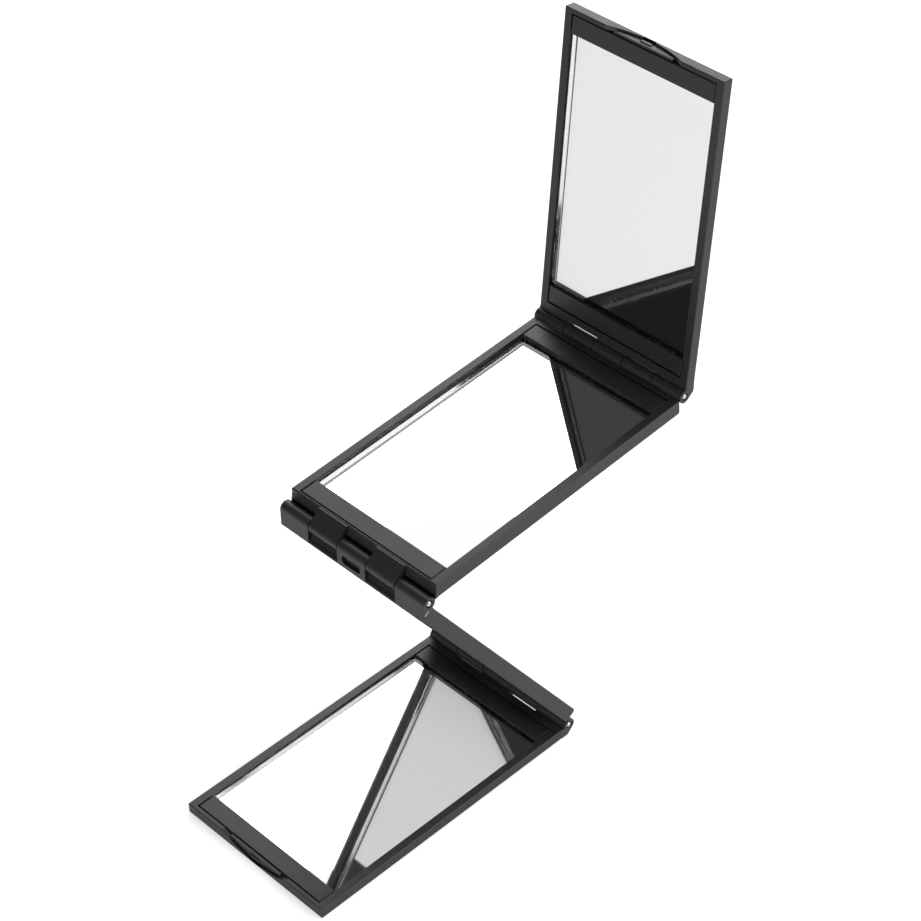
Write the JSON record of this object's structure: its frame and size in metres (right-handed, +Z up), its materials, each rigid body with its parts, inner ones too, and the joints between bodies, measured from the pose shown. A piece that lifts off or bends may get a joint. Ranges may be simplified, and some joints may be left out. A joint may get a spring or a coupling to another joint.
{
  "type": "folding pocket mirror",
  "caption": "Pocket mirror whose black plastic panels, each with a glass mirror, fold in a zigzag on pinned hinges and stand by themselves when half open.",
  "frame": {"origin": "middle of the lower cover's underside, which lies on the table", "axes": "+X along the hinges, +Y from the lower cover's free end to its hinge, +Z up"},
  "size_m": [0.06, 0.167, 0.2103],
  "materials": {
    "case_plastic": "fine matte moulded texture",
    "strip_plastic": "smooth satin",
    "catch_plastic": "smooth satin",
    "mirror_glass": "polished, cut edges ground",
    "tape": "matte double-sided tape",
    "pin_steel": "drawn bright steel"
  },
  "bodies": {
    "lower_cover": {"lower_cover_tray": "case_plastic", "lower_cover_mirror": "mirror_glass", "lower_cover_tape": "tape", "lower_cover_hinge_strip": "strip_plastic", "lower_cover_free_strip": "strip_plastic", "lower_hinge_pin": "pin_steel"},
    "lower_panel": {"lower_panel_tray": "case_plastic", "lower_panel_mirror": "mirror_glass", "lower_panel_tape": "tape", "lower_panel_middle_strip": "strip_plastic", "lower_panel_cover_strip": "strip_plastic", "lower_panel_stiffener": "pin_steel", "middle_hinge_pin": "pin_steel"},
    "upper_panel": {"upper_panel_tray": "case_plastic", "upper_panel_mirror": "mirror_glass", "upper_panel_tape": "tape", "upper_panel_middle_strip": "strip_plastic", "upper_panel_cover_strip": "strip_plastic"},
    "upper_cover": {"upper_cover_tray": "case_plastic", "upper_cover_mirror": "mirror_glass", "upper_cover_tape": "tape", "upper_cover_hinge_strip": "strip_plastic", "upper_cover_free_strip": "strip_plastic", "upper_hinge_pin": "pin_steel"},
    "lower_catch": {"lower_cover_catch": "catch_plastic"},
    "upper_catch": {"upper_cover_catch": "catch_plastic"}
  },
  "joints": [
    {"name": "lower_fold", "type": "hinge", "parent": "lower_cover", "child": "lower_panel", "pos_m": [0, 0.0522, 0.0037], "axis": [1, 0, 0], "range_deg": [-125.35, 54.65]},
    {"name": "middle_fold", "type": "hinge", "parent": "lower_panel", "child": "upper_panel", "pos_m": [0, -0.0053, 0.09367], "axis": [1, 0, 0], "range_deg": [-58.79, 121.21]},
    {"name": "upper_fold", "type": "hinge", "parent": "upper_panel", "child": "upper_cover", "pos_m": [0, 0.1007, 0.1065], "axis": [1, 0, 0], "range_deg": [-80.14, 99.86]},
    {"name": "lower_catch_press", "type": "slide", "parent": "lower_cover", "child": "lower_catch", "axis": [0, 1, 0], "range_m": [0, 0.0002], "stiffness_N_per_m": 500},
    {"name": "upper_catch_press", "type": "slide", "parent": "upper_cover", "child": "upper_catch", "axis": [0, -0.0997, -0.995], "range_m": [0, 0.0002], "stiffness_N_per_m": 500}
  ]
}
